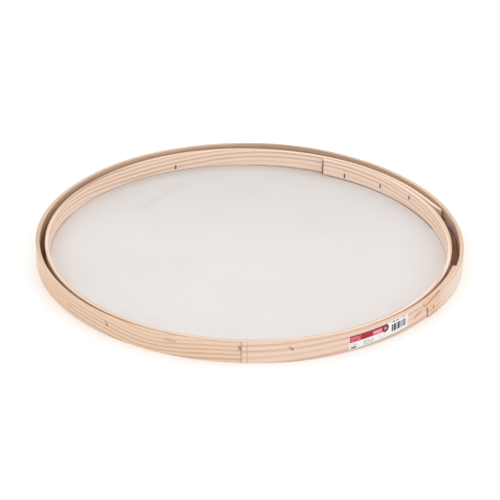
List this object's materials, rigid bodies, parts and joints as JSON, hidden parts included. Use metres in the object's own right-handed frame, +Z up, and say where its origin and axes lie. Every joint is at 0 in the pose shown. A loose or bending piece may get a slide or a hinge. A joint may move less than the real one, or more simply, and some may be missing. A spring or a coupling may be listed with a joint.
{
  "type": "round soil sieve",
  "caption": "Shallow round sieve: a fine woven screen stretched under a bent wooden hoop and trapped by an outer hoop, for sifting potting soil and seed mix.",
  "frame": {"origin": "centre of the outer hoop's outline, on the surface the sieve stands on", "axes": "+Z up through the screen, +X to the right, -Y towards the front, where the label is"},
  "size_m": [0.5956, 0.593, 0.028],
  "materials": {
    "pine_outer": "bare sanded pine, long pale-brown grain lines",
    "pine_short": "bare sanded pine, a little paler and pinker",
    "pine_inner": "bare sanded pine, wavy grain lines",
    "screen_cloth": "very fine off-white plain-woven nylon mesh, matt",
    "label_paper": null,
    "staple_steel": "dull galvanised flat wire"
  },
  "bodies": {
    "root": {"outer_strip_short": "pine_short", "outer_strip_long": "pine_outer", "inner_hoop": "pine_inner", "screen": "screen_cloth", "screen_edge": "screen_cloth", "label": "label_paper", "inner_lap_staple_1": "staple_steel", "inner_lap_staple_2": "staple_steel", "inner_lap_staple_3": "staple_steel", "outer_lap_staple": "staple_steel", "rim_staple_1": "staple_steel", "rim_staple_2": "staple_steel", "screen_tack": "staple_steel"}
  },
  "joints": []
}
